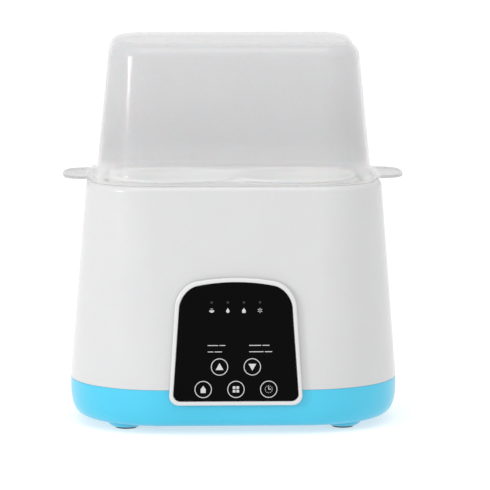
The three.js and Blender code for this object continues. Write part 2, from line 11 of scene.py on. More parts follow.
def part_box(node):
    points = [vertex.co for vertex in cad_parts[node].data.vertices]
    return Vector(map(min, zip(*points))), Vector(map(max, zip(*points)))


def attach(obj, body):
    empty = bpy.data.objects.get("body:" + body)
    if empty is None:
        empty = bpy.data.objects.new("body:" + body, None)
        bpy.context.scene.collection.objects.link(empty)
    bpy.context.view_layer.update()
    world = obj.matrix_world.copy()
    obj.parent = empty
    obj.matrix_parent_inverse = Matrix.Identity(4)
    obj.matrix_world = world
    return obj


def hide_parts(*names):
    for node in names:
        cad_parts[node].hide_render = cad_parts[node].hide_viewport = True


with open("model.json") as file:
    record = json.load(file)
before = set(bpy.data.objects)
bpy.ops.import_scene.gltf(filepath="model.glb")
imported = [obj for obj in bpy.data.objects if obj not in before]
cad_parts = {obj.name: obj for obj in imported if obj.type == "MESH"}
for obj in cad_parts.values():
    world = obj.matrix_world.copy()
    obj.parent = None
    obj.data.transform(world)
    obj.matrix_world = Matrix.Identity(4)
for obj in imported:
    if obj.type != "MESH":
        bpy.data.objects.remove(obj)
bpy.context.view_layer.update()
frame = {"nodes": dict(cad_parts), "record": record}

# Profiles and sections are in millimetres. Meshes are in metres.
# A section is a rounded rectangle: (half-width, half-depth, corner radius).
MM = 0.001
GAP = 0.3  # between pieces that are assembled

# ---- Sizes -----------------------------------------------------------------------------------


def span(node):
    """Lowest and highest corner of a CAD node, in millimetres."""
    low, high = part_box(node)
    return low / MM, high / MM


def reach(node, height, slack=0.05):
    """A CAD node's half-width and half-depth at a height, in millimetres."""
    near = [v.co / MM for v in frame["nodes"][node].data.vertices if abs(v.co.z / MM - height) < slack]
    return max(abs(p.x) for p in near), max(abs(p.y) for p in near)


HOUSING_LOW, HOUSING_HIGH = span("housing")
LID_LOW, LID_HIGH = span("lid")
TANK_LOW, TANK_HIGH = span("water_tank")
DECK_LOW, DECK_HIGH = span("basket_deck")
CUP_LOW, CUP_HIGH = span("bottle_cup_right")

SHOULDER_RADIUS = 3.5
SHOULDER = HOUSING_HIGH.z - SHOULDER_RADIUS
TAPER_START = HOUSING_LOW.z + 2.1
BODY_SECTION = (HOUSING_HIGH.x, HOUSING_HIGH.y, 57)
SHOULDER_SECTION = (*reach("housing", SHOULDER), 37)
WALL = 2.6
LEDGE = 144.9
LEDGE_THICK = 2

SEAM = HOUSING_LOW.z - GAP
SEAM_CRACK = 0.1  # the line that shows between housing and base
SEAM_EDGE = 0.15  # rounding of both shells along it
RIM_WIDTH = 4.9  # from the housing's outside to its mouth
BOWL_INSET = 15  # how much narrower the base is at its underside
BOWL_POWER = 0.6
UNDERSIDE = 3.8
BASE_FLOOR = UNDERSIDE + 2.2
FOOT_X, FOOT_Y = 65, 40
FOOT_PAD_RADIUS = 6.3
PILLAR_X, PILLAR_Y = 46, 36
BOARD_X, BOARD_Y = 54, 24
VENT_COUNT = 5
VENT_PITCH = 9
VENT = (1.6, 15, 1.55)
BOARD_BOTTOM = span("power_board")[0].z

TANK_MOUTH = (77.9, 55.1, 27)
TANK_BOTTOM = (75.4, 52, 25.4)
TANK_FLOOR = TANK_LOW.z + 2.4
TANK_WALL = 2.4
TANK_CORNER = 1.8
PLATE_HOLE = (46.2, 28.2, 27.9)

LID_FOOT = (82.4, 59.6, 31.5)
LID_CROWN = (74.2, 50.5, 22)
LID_ROUND = 8.5
LID_WALL = 1.8
LID_FILLET = 3.5
SKIRT_INSET = 0.7  # clearance between skirt and tank
FLANGE_BOTTOM = HOUSING_HIGH.z + 0.1
FLANGE_TOP = HOUSING_HIGH.z + GAP + 1.5
FLANGE_INSET = 3.4
FLANGE_UNDER_EDGE = 0.15
FLANGE_UPPER_EDGE = 0.7
EAR_HALF_DEPTH = 25
EAR_POWER = 0.62
EAR_TIP = LID_HIGH.x
# Where the painted shade on the lid's ears begins, out from the axis.
EAR_ROOT = 85
EAR_BLEND = 4  # softens the corner between flange and ear
# Heights in millimetres: the painted light at the lid's foot is full below LID_FADE_START and gone
# above LID_FADE_END, where the painted shade from the crown down is full.
LID_FADE_START = 155
LID_FADE_END = 163

CUP_INNER = 34.6
CUP_OUTER = 36.2
CUP_RIM = 38
CUP_AXIS = CUP_HIGH.x - CUP_RIM
CUP_FLOOR = 50
CUP_SLOT = (6, 30, 5.9)
CUP_SLOT_Z = 90
CUP_DRAIN_CIRCLE = 18
DECK_BOTTOM = DECK_LOW.z
DECK_TOP = DECK_HIGH.z
DECK_CORNER = 24.3
DECK_EDGE = 0.6
DRAIN = (6, 4.5, 4.2)
DRAIN_X, DRAIN_Y = 66, 39
FINGER_SLOT = (18, 4.5, 4.4)
FINGER_SLOT_Y = 44.5

LENS_HALF_HEIGHT = 35.3
LENS_HALF_BOTTOM = 37.2
LENS_HALF_TOP = 32.6
LENS_SAG = 4.7
BEZEL_RIM = 2.7
BEZEL_FRONT = 3.3
LENS_FRONT = 2.9
LENS_BACK = 1.5
COLLAR_BACK = -6
KEY_PITCH = 19.4
KEY_ROW_LOW = -28.3
KEY_ROW_HIGH = -14.9
STATUS_ROW = 23.5
STATUS_PITCH = 9.5
PROCESS_ROW = 18.7
LEGEND_ROWS = (-2.1, -5.9)
KEY_RADIUS = 5.1
KEY_STROKE = 0.46
LEGEND_HEIGHT = 0.42
LEGEND_SPACE = 0.7
STATUS_ICON = 2.9

CORNER_STEPS = 18

# ---- Materials -------------------------------------------------------------------------------


def srgb(red, green, blue):
    """Linear colour from 0 to 255 display values."""
    def linear(value):
        share = value / 255
        return share / 12.92 if share <= 0.04045 else ((share + 0.055) / 1.055) ** 2.4
    return (linear(red), linear(green), linear(blue), 1)


def surface(name, dark, light, rough, grain, bump, speckle=0.15, **shader):
    """A moulded surface: cloudy colour between two tones, uneven roughness and a fine grain.

    rough is the lowest and highest roughness, grain the texture's cells per metre, bump the
    grain's height in millimetres.
    """
    material = bpy.data.materials.new(name)
    material.use_nodes = True
    nodes, links = material.node_tree.nodes, material.node_tree.links
    shade = nodes["Principled BSDF"]
    place = nodes.new("ShaderNodeTexCoord")

    cloud = nodes.new("ShaderNodeTexNoise")
    cloud.inputs["Scale"].default_value = 28
    cloud.inputs["Detail"].default_value = 4
    links.new(place.outputs["Object"], cloud.inputs["Vector"])
    tone = nodes.new("ShaderNodeMix")
    tone.data_type = "RGBA"
    tone.inputs["A"].default_value = dark
    tone.inputs["B"].default_value = light
    links.new(cloud.outputs["Fac"], tone.inputs["Factor"])

    fine = nodes.new("ShaderNodeTexNoise")
    fine.inputs["Scale"].default_value = grain
    fine.inputs["Detail"].default_value = 3
    links.new(place.outputs["Object"], fine.inputs["Vector"])
    fleck = nodes.new("ShaderNodeMix")
    fleck.data_type = "RGBA"
    fleck.blend_type = "OVERLAY"
    fleck.inputs["Factor"].default_value = speckle
    links.new(tone.outputs["Result"], fleck.inputs["A"])
    links.new(fine.outputs["Fac"], fleck.inputs["B"])
    links.new(fleck.outputs["Result"], shade.inputs["Base Color"])

    wear = nodes.new("ShaderNodeTexNoise")
    wear.inputs["Scale"].default_value = 90
    wear.inputs["Detail"].default_value = 5
    links.new(place.outputs["Object"], wear.inputs["Vector"])
    spread = nodes.new("ShaderNodeMapRange")
    spread.inputs["To Min"].default_value = rough[0]
    spread.inputs["To Max"].default_value = rough[1]
    links.new(wear.outputs["Fac"], spread.inputs["Value"])
    links.new(spread.outputs["Result"], shade.inputs["Roughness"])

    relief = nodes.new("ShaderNodeBump")
    relief.inputs["Strength"].default_value = 1
    relief.inputs["Distance"].default_value = bump * MM
    links.new(fine.outputs["Fac"], relief.inputs["Height"])
    links.new(relief.outputs["Normal"], shade.inputs["Normal"])

    for socket, value in shader.items():
        shade.inputs[socket.replace("_", " ")].default_value = value
    return material


def brushed(name, colour, rough, stretch):
    """Metal whose grain runs along one axis: stretch scales the grain on x, y and z."""
    dark = tuple(c * 0.86 for c in colour[:3]) + (1,)
    material = surface(name, dark, colour, rough, 900, 0.01, 0.2, Metallic=1)
    nodes, links = material.node_tree.nodes, material.node_tree.links
    mapping = nodes.new("ShaderNodeMapping")
    mapping.inputs["Scale"].default_value = stretch
    place = next(node for node in nodes if node.type == "TEX_COORD")
    links.new(place.outputs["Object"], mapping.inputs["Vector"])
    for node in nodes:
        if node.type == "TEX_NOISE" and node.inputs["Scale"].default_value > 500:
            links.new(mapping.outputs["Vector"], node.inputs["Vector"])
    return material


LOOKS = {
    "white_housing": surface(
        "glossy_white", srgb(196, 196, 197), srgb(201, 201, 201), (0.2, 0.28), 1400, 0.004, 0.05,
        Coat_Weight=0.3, Coat_Roughness=0.05, Specular_IOR_Level=0.3,
        Subsurface_Weight=0.05, Subsurface_Scale=0.004),
    "white_bezel": surface(
        "bezel_white", srgb(202, 202, 203), srgb(208, 208, 208), (0.2, 0.3), 1400, 0.004, 0.05,
        Coat_Weight=0.2, Coat_Roughness=0.15),
    "blue_shell": surface(
        "sky_blue", srgb(56, 182, 214), srgb(64, 189, 220), (0.26, 0.34), 1400, 0.004, 0.05,
        Coat_Weight=0.2, Coat_Roughness=0.15, Subsurface_Weight=0.05, Subsurface_Scale=0.004),
    "frosted_lid": surface(
        "frosted_plastic", srgb(195, 195, 196), srgb(201, 201, 202), (0.09, 0.14), 1100, 0.003, 0.08,
        Alpha=0.48, Sheen_Weight=0.3, Sheen_Roughness=0.4,
        Subsurface_Weight=0.2, Subsurface_Scale=0.003),
    "black_lens": surface(
        "black_acrylic", srgb(6, 6, 7), srgb(8, 8, 9), (0.05, 0.1), 700, 0.001, 0.03,
        Specular_IOR_Level=0.025),
    "tank_plastic": surface(
        "satin_white", srgb(238, 238, 236), srgb(244, 244, 242), (0.34, 0.46), 1000, 0.01, 0.1),
    "basket_plastic": surface(
        "basket_white", srgb(241, 241, 240), srgb(247, 247, 246), (0.3, 0.42), 1000, 0.01, 0.1,
        Subsurface_Weight=0.1, Subsurface_Scale=0.003),
    "silicone": surface(
        "silicone_seal", srgb(200, 200, 194), srgb(216, 216, 210), (0.45, 0.6), 800, 0.015, 0.15,
        Subsurface_Weight=0.3, Subsurface_Scale=0.002),
    "dark_rubber": surface(
        "dark_rubber", srgb(30, 31, 33), srgb(44, 45, 48), (0.65, 0.85), 900, 0.04, 0.3),
    "cast_aluminium": brushed("cast_aluminium", srgb(196, 198, 201), (0.28, 0.42), (1, 14, 14)),
    "zinc_steel": brushed("zinc_steel", srgb(186, 189, 194), (0.22, 0.36), (1, 9, 9)),
    "component_dark": surface(
        "moulded_epoxy", srgb(26, 26, 28), srgb(40, 40, 42), (0.42, 0.6), 1200, 0.02, 0.25),
    "component_yellow": surface(
        "winding_tape", srgb(196, 158, 52), srgb(214, 178, 74), (0.3, 0.45), 1200, 0.02, 0.2),
    "terminal_white": surface(
        "terminal_nylon", srgb(208, 208, 202), srgb(222, 222, 216), (0.4, 0.55), 1200, 0.02, 0.2),
    "led_clear": surface(
        "led_epoxy", srgb(214, 208, 190), srgb(228, 224, 210), (0.08, 0.16), 900, 0.004, 0.1,
        Transmission_Weight=0.5),
    "wire_red": surface(
        "red_silicone", srgb(168, 34, 30), srgb(190, 48, 42), (0.4, 0.55), 900, 0.02, 0.2),
    "wire_blue": surface(
        "blue_silicone", srgb(36, 74, 150), srgb(50, 92, 172), (0.4, 0.55), 900, 0.02, 0.2),
    "wire_grey": surface(
        "grey_pvc", srgb(122, 124, 128), srgb(144, 146, 150), (0.4, 0.55), 900, 0.02, 0.2),
}


def circuit_board():
    """Green solder mask with a grid of tracks and bare pads."""
    material = surface("solder_mask", srgb(18, 78, 46), srgb(26, 94, 56), (0.28, 0.4), 900, 0.02, 0.15)
    nodes, links = material.node_tree.nodes, material.node_tree.links
    shade = nodes["Principled BSDF"]
    place = next(node for node in nodes if node.type == "TEX_COORD")
    tracks = nodes.new("ShaderNodeTexBrick")
    tracks.inputs["Scale"].default_value = 60
    tracks.inputs["Mortar Size"].default_value = 0.03
    tracks.inputs["Color1"].default_value = (0, 0, 0, 1)
    tracks.inputs["Color2"].default_value = (0.35, 0.35, 0.35, 1)
    tracks.inputs["Mortar"].default_value = (1, 1, 1, 1)
    links.new(place.outputs["Object"], tracks.inputs["Vector"])
    copper = nodes.new("ShaderNodeMix")
    copper.data_type = "RGBA"
    copper.inputs["B"].default_value = srgb(52, 132, 78)
    links.new(tracks.outputs["Color"], copper.inputs["Factor"])
    links.new(shade.inputs["Base Color"].links[0].from_socket, copper.inputs["A"])
    links.new(copper.outputs["Result"], shade.inputs["Base Color"])
    return material


def tint(material, axis, start, end, colour, blend):
    """Tints a surface along an axis: none at start, all at end, in millimetres from the origin."""
    nodes, links = material.node_tree.nodes, material.node_tree.links
    shade = nodes["Principled BSDF"]
    place = next(node for node in nodes if node.type == "TEX_COORD")
    apart = nodes.new("ShaderNodeSeparateXYZ")
    links.new(place.outputs["Object"], apart.inputs["Vector"])
    distance = nodes.new("ShaderNodeMath")
    distance.operation = "ABSOLUTE"
    links.new(apart.outputs[axis], distance.inputs[0])
    share = nodes.new("ShaderNodeMapRange")
    share.interpolation_type = "SMOOTHSTEP"
    share.inputs["From Min"].default_value = start * MM
    share.inputs["From Max"].default_value = end * MM
    links.new(distance.outputs["Value"], share.inputs["Value"])
    mix = nodes.new("ShaderNodeMix")
    mix.data_type = "RGBA"
    mix.blend_type = blend
    mix.inputs["B"].default_value = colour
    links.new(share.outputs["Result"], mix.inputs["Factor"])
    links.new(shade.inputs["Base Color"].links[0].from_socket, mix.inputs["A"])
    links.new(mix.outputs["Result"], shade.inputs["Base Color"])


# Painted shade on the lid: it grows a little darker from the crown down towards its foot.
FROST = LOOKS["frosted_lid"]
tint(FROST, "Z", LID_HIGH.z, LID_FADE_END, srgb(242, 242, 242), "MULTIPLY")
# Painted light: a lighter band at the lid's foot, where wall, skirt and flange meet.
tint(FROST, "Z", LID_FADE_END, LID_FADE_START, srgb(216, 216, 216), "MIX")
# Painted shade: the lid's ears darker.
tint(FROST, "X", EAR_ROOT, EAR_ROOT + 5, srgb(152, 152, 153), "MULTIPLY")
LOOKS["board_green"] = circuit_board()
PRINT = surface(
    "pale_print", srgb(188, 188, 188), srgb(198, 198, 198), (0.35, 0.45), 900, 0.002, 0.1)
DIM_PRINT = surface(
    "smoked_window", srgb(15, 15, 17), srgb(19, 19, 21), (0.2, 0.3), 900, 0.002, 0.1)

# ---- Mesh tools ------------------------------------------------------------------------------


def piece(name, verts, faces, look, body="body", replaces=(), slot=True):
    """A mesh from millimetre points that rides on a body and wears the look's material.

    With look=None it is a bare mesh, for a boolean. The slot argument is not used.
    """
    mesh = bpy.data.meshes.new(name)
    mesh.from_pydata([Vector(v) * MM for v in verts], [], faces)
    thing = bpy.data.objects.new(name, mesh)
    bpy.context.scene.collection.objects.link(thing)
    tidy(thing)
    if look is not None:
        dress(thing, look)
        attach(thing, body)
        if replaces:
            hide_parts(*replaces)
    return thing


def tidy(thing):
    """Merges doubles, points the faces outwards and shades smooth with crisp creases."""
    work = bmesh.new()
    work.from_mesh(thing.data)
    bmesh.ops.remove_doubles(work, verts=work.verts, dist=1e-7)
    bmesh.ops.dissolve_degenerate(work, edges=work.edges, dist=1e-8)
    bmesh.ops.recalc_face_normals(work, faces=work.faces)
    work.to_mesh(thing.data)
    work.free()
    thing.data.shade_smooth()
    thing.data.set_sharp_from_angle(angle=math.radians(38))


def dress(thing, look):
    """Gives an object one of the named looks, or a material."""
    material = LOOKS[look] if isinstance(look, str) else look
    thing.data.materials.clear()
    thing.data.materials.append(material)


def even_normals(thing):
    """Weights the normals by area, so that flat faces beside a rounding stay flat."""
    modifier = thing.modifiers.new("even_normals", "WEIGHTED_NORMAL")
    modifier.keep_sharp = True


def apply_all(thing):
    """Replaces an object's mesh by what its modifiers make of it."""
    graph = bpy.context.evaluated_depsgraph_get()
    made = bpy.data.meshes.new_from_object(thing.evaluated_get(graph))
    thing.modifiers.clear()
    thing.data = made


def combine(thing, tools, operation):
    """Cuts the tool meshes from an object, or joins them to it, and deletes them."""
    for tool in tools:
        modifier = thing.modifiers.new(operation, "BOOLEAN")
        modifier.operation = operation
        modifier.solver = "EXACT"
        modifier.object = tool
        apply_all(thing)
        bpy.data.objects.remove(tool)
    tidy(thing)


def cut_each(thing, cutters):
    """Cuts (points, faces) pairs that may touch each other from an object, one after another."""
    for cutter in cutters:
        combine(thing, [tool(cutter)], "DIFFERENCE")


def merged(meshes):
    """One (points, faces) pair from several that don't touch."""
    verts, faces = [], []
    for points, polygons in meshes:
        start = len(verts)
        verts += points
        faces += [[start + i for i in polygon] for polygon in polygons]
    return verts, faces


def tool(*meshes):
    """A bare object for a boolean, from (points, faces) pairs that don't touch."""
    return piece("tool", *merged(meshes), look=None)


def grow(section, by):
    """A section whose outline lies some millimetres further out."""
    a, b, r = section
    return a + by, b + by, r + by


def between(low, high, share):
    """A section part of the way from one to another."""
    return tuple(x + (y - x) * share for x, y in zip(low, high))


def arc(radius, steps, start=0, end=90):
    """(outward, upward) offsets along an arc, from start to end degrees."""
    angles = [math.radians(start + (end - start) * i / steps) for i in range(steps + 1)]
    return [(radius * math.cos(angle), radius * math.sin(angle)) for angle in angles]


def ring(section, z, steps=CORNER_STEPS):
    """A section's outline at height z, anticlockwise."""
    a, b, r = section
    points = []
    for corner in range(4):
        x = a - r if corner in (0, 3) else r - a
        y = b - r if corner < 2 else r - b
        for i in range(steps + 1):
            angle = (corner + i / steps) * math.pi / 2
            points.append((x + r * math.cos(angle), y + r * math.sin(angle), z))
    return points


def skin(rings, closed):
    """(points, faces) of rings joined one to the next, and either round to the first or capped."""
    count = len(rings[0])
    faces = []
    for k in range(len(rings) if closed else len(rings) - 1):
        low, high = k * count, (k + 1) % len(rings) * count
        for i in range(count):
            j = (i + 1) % count
            faces.append([low + i, low + j, high + j, high + i])
    if not closed:
        faces.append(list(reversed(range(count))))
        faces.append(list(range(len(rings) * count - count, len(rings) * count)))
    return [p for points in rings for p in points], faces


def loft(levels, closed=False, steps=CORNER_STEPS):
    """(points, faces) through sections given as (section, height)."""
    return skin([ring(section, z, steps) for section, z in levels], closed)


def turned(profile, x=0, y=0, sides=48, matrix=None):
    """A solid of revolution about a vertical axis from (radius, z) points.

    A profile whose ends are both on the axis is capped there. Any other closes on itself.
    """
    on_axis = profile[0][0] == 0 and profile[-1][0] == 0
    points = profile[1:-1] if on_axis else profile
    rings = []
    for radius, z in points:
        angles = [2 * math.pi * i / sides for i in range(sides)]
        rings.append([(x + radius * math.cos(a), y + radius * math.sin(a), z) for a in angles])
    verts, faces = skin(rings, not on_axis)
    if matrix is not None:
        verts = [tuple(matrix @ Vector(v)) for v in verts]
    return verts, faces


def rod(radius, low, high, x=0, y=0, sides=32, matrix=None):
    """An upright cylinder, for a hole or a boss."""
    return turned([(0, low), (radius, low), (radius, high), (0, high)], x, y, sides, matrix)


def corners(x, y):
    """The four places (+-x, +-y), anticlockwise from the front left."""
    return [(-x, -y), (x, -y), (x, y), (-x, y)]


def block(width, depth, height, x, y, z):
    """A box centred on x, y, z, for a straight cut."""
    verts = [(x + across, y + along, z + up) for up in (-height / 2, height / 2)
             for across, along in corners(width / 2, depth / 2)]
    sides = [[i, (i + 1) % 4, (i + 1) % 4 + 4, i + 4] for i in range(4)]
    return verts, [[3, 2, 1, 0], [4, 5, 6, 7], *sides]


def upright(section, x, y, low, high):
    """A straight-sided hole or boss with a section's outline."""
    verts, faces = loft([(section, low), (section, high)], steps=8)
    return [(x + px, y + py, pz) for px, py, pz in verts], faces


# ---- Panel frame -----------------------------------------------------------------------------


def panel_matrix():
    """From the panel's frame (x right, y up the wall, z out of it) to the model's, in millimetres.

    The lens's front face gives the plane, and its low and high edges give the middle.
    """
    mesh = frame["nodes"]["touch_lens"].data
    front = max(mesh.polygons, key=lambda face: (round(-face.normal.y, 3), face.area))
    out = front.normal.copy()
    out.x = 0
    out.normalize()
    right = Vector((1, 0, 0))
    up = out.cross(right)
    heights = [(v.co / MM).dot(up) for v in mesh.vertices]
    face = max((v.co / MM).dot(out) for v in mesh.vertices) - LENS_FRONT
    middle = up * ((min(heights) + max(heights)) / 2) + out * face
    return Matrix((
        (right.x, up.x, out.x, middle.x),
        (right.y, up.y, out.y, middle.y),
        (right.z, up.z, out.z, middle.z),
        (0, 0, 0, 1)))


PANEL = panel_matrix()


def bezier(a, b, c, d, steps):
    """Points along a Bezier curve in the plane, without its first."""
    points = []
    for i in range(1, steps + 1):
        t = i / steps
        s = 1 - t
        weights = (s ** 3, 3 * s * s * t, 3 * s * t * t, t ** 3)
        points.append(tuple(sum(w * p[k] for w, p in zip(weights, (a, b, c, d))) for k in (0, 1)))
    return points


def panel_outline(by):
    """The lens's outline grown by some millimetres: a trapezium with an arched top."""
    foot, head, half = LENS_HALF_BOTTOM + by, LENS_HALF_TOP + by, LENS_HALF_HEIGHT + by
    low, high = 4.5 + by * 0.7, 10 + by * 0.7  # sizes of the lower and upper corners
    shoulder = half - LENS_SAG
    loose = 0.45  # how far a corner stays from a square one
    brow = head - high
    climb = shoulder - high + half - low

    def side(y):
        return foot + (head - foot) * (y + half) / (shoulder + half)

    def top(x):
        return half - LENS_SAG * (x / head) ** 2

    right = [(foot - low, -half)]
    right += bezier(right[0], (foot - low * loose, -half), (side(-half), low * loose - half),
                    (side(low - half), low - half), 10)
    heights = [low - half + climb * i / 6 for i in range(1, 7)]
    right += [(side(y), y) for y in heights]
    right += bezier(right[-1], (side(shoulder), shoulder - high * loose),
                    (head - high * loose, top(head - high * 0.5)), (brow, top(brow)), 12)
    right += [(brow * (1 - i / 8), top(brow * (1 - i / 8))) for i in range(1, 9)]
    return right + [(-x, y) for x, y in reversed(right[:-1])]


def on_panel(outline, x, y, z):
    """An outline moved to x, y on the panel, at height z off the wall."""
    return [tuple(PANEL @ Vector((x + u, y + v, z))) for u, v in outline]


def panel_skin(levels, closed=False):
    """A solid through panel outlines given as (growth, height off the wall)."""
    return skin([on_panel(panel_outline(by), 0, 0, z) for by, z in levels], closed)


def panel_hole():
    """What the housing and the base leave free for the panel's collar."""
    return tool(panel_skin([(GAP, -10), (GAP, 6)]))


# ---- Outer shells ----------------------------------------------------------------------------


def housing_section(z):
    """The housing's outside at height z. The taper starts gently above the seam."""
    soft = 3
    rise = z - TAPER_START
    eased = soft * math.log1p(math.exp(rise / soft)) if rise < 20 else rise
    share = eased / (SHOULDER - TAPER_START)
    return between(BODY_SECTION, SHOULDER_SECTION, min(1, share))


def make_housing():
    """The white shell: outside up to its shoulder, mouth, ledge for the tank, and inside."""
    low, top = SEAM + SEAM_CRACK, HOUSING_HIGH.z
    edge = 0.5
    levels = [(grow(housing_section(low), out - SEAM_EDGE), low + SEAM_EDGE - up)
              for out, up in reversed(arc(SEAM_EDGE, 3))]
    climb = [low + rise for rise in (1, 2.5, 5, 9, 14, 22)]
    climb += [climb[-1] + (SHOULDER - climb[-1]) * i / 8 for i in range(1, 9)]
    levels += [(housing_section(z), z) for z in climb]
    levels += [(grow(SHOULDER_SECTION, out - SHOULDER_RADIUS), SHOULDER + up)
               for out, up in arc(SHOULDER_RADIUS, 7)[1:]]
    rim = grow(SHOULDER_SECTION, -RIM_WIDTH)
    levels += [(grow(rim, edge - out), top - edge + up) for out, up in reversed(arc(edge, 3))]
    opening = grow(TANK_MOUTH, TANK_WALL + 0.4)
    shelf = LEDGE - LEDGE_THICK
    levels += [(rim, LEDGE), (opening, LEDGE), (opening, shelf)]
    levels += [(grow(housing_section(z), -WALL), z) for z in (shelf, 100, 60, TAPER_START + 3, low)]
    shell = piece("housing_shell", *loft(levels, closed=True), look="white_housing",
                  replaces=["housing"])
    combine(shell, [panel_hole()], "DIFFERENCE")
    even_normals(shell)


def bowl(angle):
    """The base's outside at an angle down its squared quarter ellipse: (section, z)."""
    inset = BOWL_INSET * (1 - max(0, math.cos(angle)) ** BOWL_POWER)
    return grow(BODY_SECTION, -inset), SEAM - (SEAM - UNDERSIDE) * math.sin(angle) ** BOWL_POWER


GLAND_LOW, GLAND_HIGH = span("cord_gland")
GLAND_MIDDLE = (GLAND_LOW + GLAND_HIGH) / 2
GLAND = (Matrix.Translation((GLAND_MIDDLE.x, 0, GLAND_MIDDLE.z))
         @ Matrix.Rotation(-math.pi / 2, 4, "X"))  # its axis becomes z, towards the rear


def base_levels():
    """The bowl's outside from the underside up, the lip inside the housing, and the inside down."""
    steps = 20
    sweep = [bowl(math.pi / 2 * (1 - i / steps)) for i in range(steps)]
    levels = [(section, z) for section, z in sweep if z < SEAM - 0.8]
    levels += [(grow(BODY_SECTION, out - SEAM_EDGE), SEAM - SEAM_EDGE + up)
               for out, up in arc(SEAM_EDGE, 4)]
    lip = grow(BODY_SECTION, -WALL - GAP)
    lip_inside = grow(lip, -1.6)
    levels += [(lip, SEAM), (lip, SEAM + 4), (lip_inside, SEAM + 4), (lip_inside, SEAM)]
    for section, z in sweep[-3::-1]:
        drop = (SEAM - z) / (SEAM - UNDERSIDE)
        levels.append((grow(section, -WALL), SEAM - drop * (SEAM - BASE_FLOOR)))
    return levels


def make_base():
    """The blue bowl with its foot domes, inner bosses, vents, screw wells and cord inlet."""
    shell = piece("base_bowl", *loft(base_levels()), look="blue_shell", replaces=["base_shell"])
    feet = corners(FOOT_X, FOOT_Y)
    posts = corners(BOARD_X, BOARD_Y)
    pillars = corners(PILLAR_X, PILLAR_Y)

    dome = [(0, 0.9), (7.1, 0.9), (8.2, 1.15), (9.6, 1.95), (10.8, 3.1), (11.7, 4.6), (12.15, 6.2),
            (12.3, 8), (0, 8)]
    added = [turned(dome, x, y, 56) for x, y in feet]
    added += [rod(3.6, BASE_FLOOR - 1, BOARD_BOTTOM - GAP, x, y, 28) for x, y in posts]
    added += [rod(5.4, BASE_FLOOR - 1, 9.6, x, y, 32) for x, y in pillars]
    gland_boss = rod(9.2, 56, 68.2, sides=40, matrix=GLAND)
    combine(shell, [tool(*added), tool(gland_boss)], "UNION")

    screw_well = [(0, 0), (4, 0), (4, 6.8), (2, 6.8), (2, 12), (0, 12)]
    inlet = [(0, 50), (7, 50), (7, 58), (5.3, 58), (5.3, 68.2), (7.8, 68.2), (7.8, 76), (0, 76)]
    cuts = [rod(FOOT_PAD_RADIUS + GAP, 0, 1.9, x, y, 48) for x, y in feet]
    cuts += [rod(1.6, BASE_FLOOR + 1, BOARD_BOTTOM, x, y, 20) for x, y in posts]
    cuts += [turned(screw_well, x, y, 32) for x, y in pillars]
    for i in range(VENT_COUNT):
        slot, faces = loft([(VENT, 0), (VENT, 10)], steps=6)
        across = (i - (VENT_COUNT - 1) / 2) * VENT_PITCH
        cuts.append(([(x + across, y, z) for x, y, z in slot], faces))
    cuts.append(turned(inlet, sides=40, matrix=GLAND))
    combine(shell, [tool(*cuts), panel_hole()], "DIFFERENCE")
    even_normals(shell)


def make_gland():
    """The rubber bush that the mains cord would pass through: groove, flange and rounded mouth."""
    low, high = GLAND_LOW.y, GLAND_HIGH.y
    bore, neck, barrel, flange = 3.3, 5, 6.6, 7.4
    profile = [(bore, low), (barrel, low), (barrel, low + 2.1), (neck, low + 2.1),
               (neck, high - 3.5), (flange, high - 3.5), (flange, high - 2.6),
               (flange - 0.3, high - 2), (barrel, high - 1.2), (5.6, high - 0.5),
               (4.4, high - 0.05), (bore + 0.4, high), (bore, high - 0.4)]
    bush = piece("gland_bush", *turned(profile, sides=48, matrix=GLAND), look="dark_rubber",
                 replaces=["cord_gland"])
    even_normals(bush)


def make_feet():
    """Rubber discs with a ring groove underneath and a rounded edge."""
    names = ("front_left", "front_right", "rear_right", "rear_left")
    r = FOOT_PAD_RADIUS
    profile = [(0, 0), (r - 1.5, 0), (r - 1.5, 0.25), (r - 1.1, 0.25), (r - 1.1, 0), (r - 0.3, 0),
               (r - 0.08, 0.1), (r, 0.35), (r, 1.6), (0, 1.6)]
    for name, (x, y) in zip(names, corners(FOOT_X, FOOT_Y)):
        pad = piece(f"foot_pad_{name}_moulded", *turned(profile, x, y, 48), look="dark_rubber",
                    replaces=[f"foot_pad_{name}"])
        even_normals(pad)


# ---- Lid -------------------------------------------------------------------------------------


def section_radius(section, angle):
    """Distance from the axis to a section's outline, in the direction of an angle."""
    a, b, r = section
    c, s = abs(math.cos(angle)), abs(math.sin(angle))
    if a * s <= (b - r) * c:
        return a / c
    if b * c <= (a - r) * s:
        return b / s
    along = (a - r) * c + (b - r) * s
    return along + math.sqrt(along * along - (a - r) ** 2 - (b - r) ** 2 + r * r)


def ear_radius(angle):
    """Distance to an ear's outline in the direction of an angle, or 0 where there is no ear."""
    root = LID_FOOT[0] - 1

    def outline(turn):
        """A point on the ear's outline, a squared half ellipse that starts at its tip."""
        return (root + (EAR_TIP - root) * math.cos(turn) ** EAR_POWER,
                EAR_HALF_DEPTH * math.sin(turn) ** EAR_POWER)

    c, s = abs(math.cos(angle)), abs(math.sin(angle))
    low, high = 0.0, math.pi / 2
    for _ in range(40):
        middle = (low + high) / 2
        x, y = outline(middle)
        if y * c < x * s:
            low = middle
        else:
            high = middle
    return 0.0 if high > math.pi / 2 - 1e-6 else math.hypot(*outline(low))


def brim_radius(angle):
    """Distance to the outline of flange and ears together, with a soft corner between them."""
    flange = section_radius(grow(SHOULDER_SECTION, -FLANGE_INSET), angle)
    ear = ear_radius(angle)
    if ear == 0:
        return flange
    overlap = max(0.0, EAR_BLEND - abs(flange - ear)) / EAR_BLEND
    return max(flange, ear) + overlap * overlap * EAR_BLEND / 4


def lid_section(z, inset=0.0):
    """The lid's outside at height z, or a section some millimetres inside it."""
    share = (z - FLANGE_TOP) / (LID_HIGH.z - FLANGE_TOP)
    return grow(between(LID_FOOT, LID_CROWN, share), -inset)


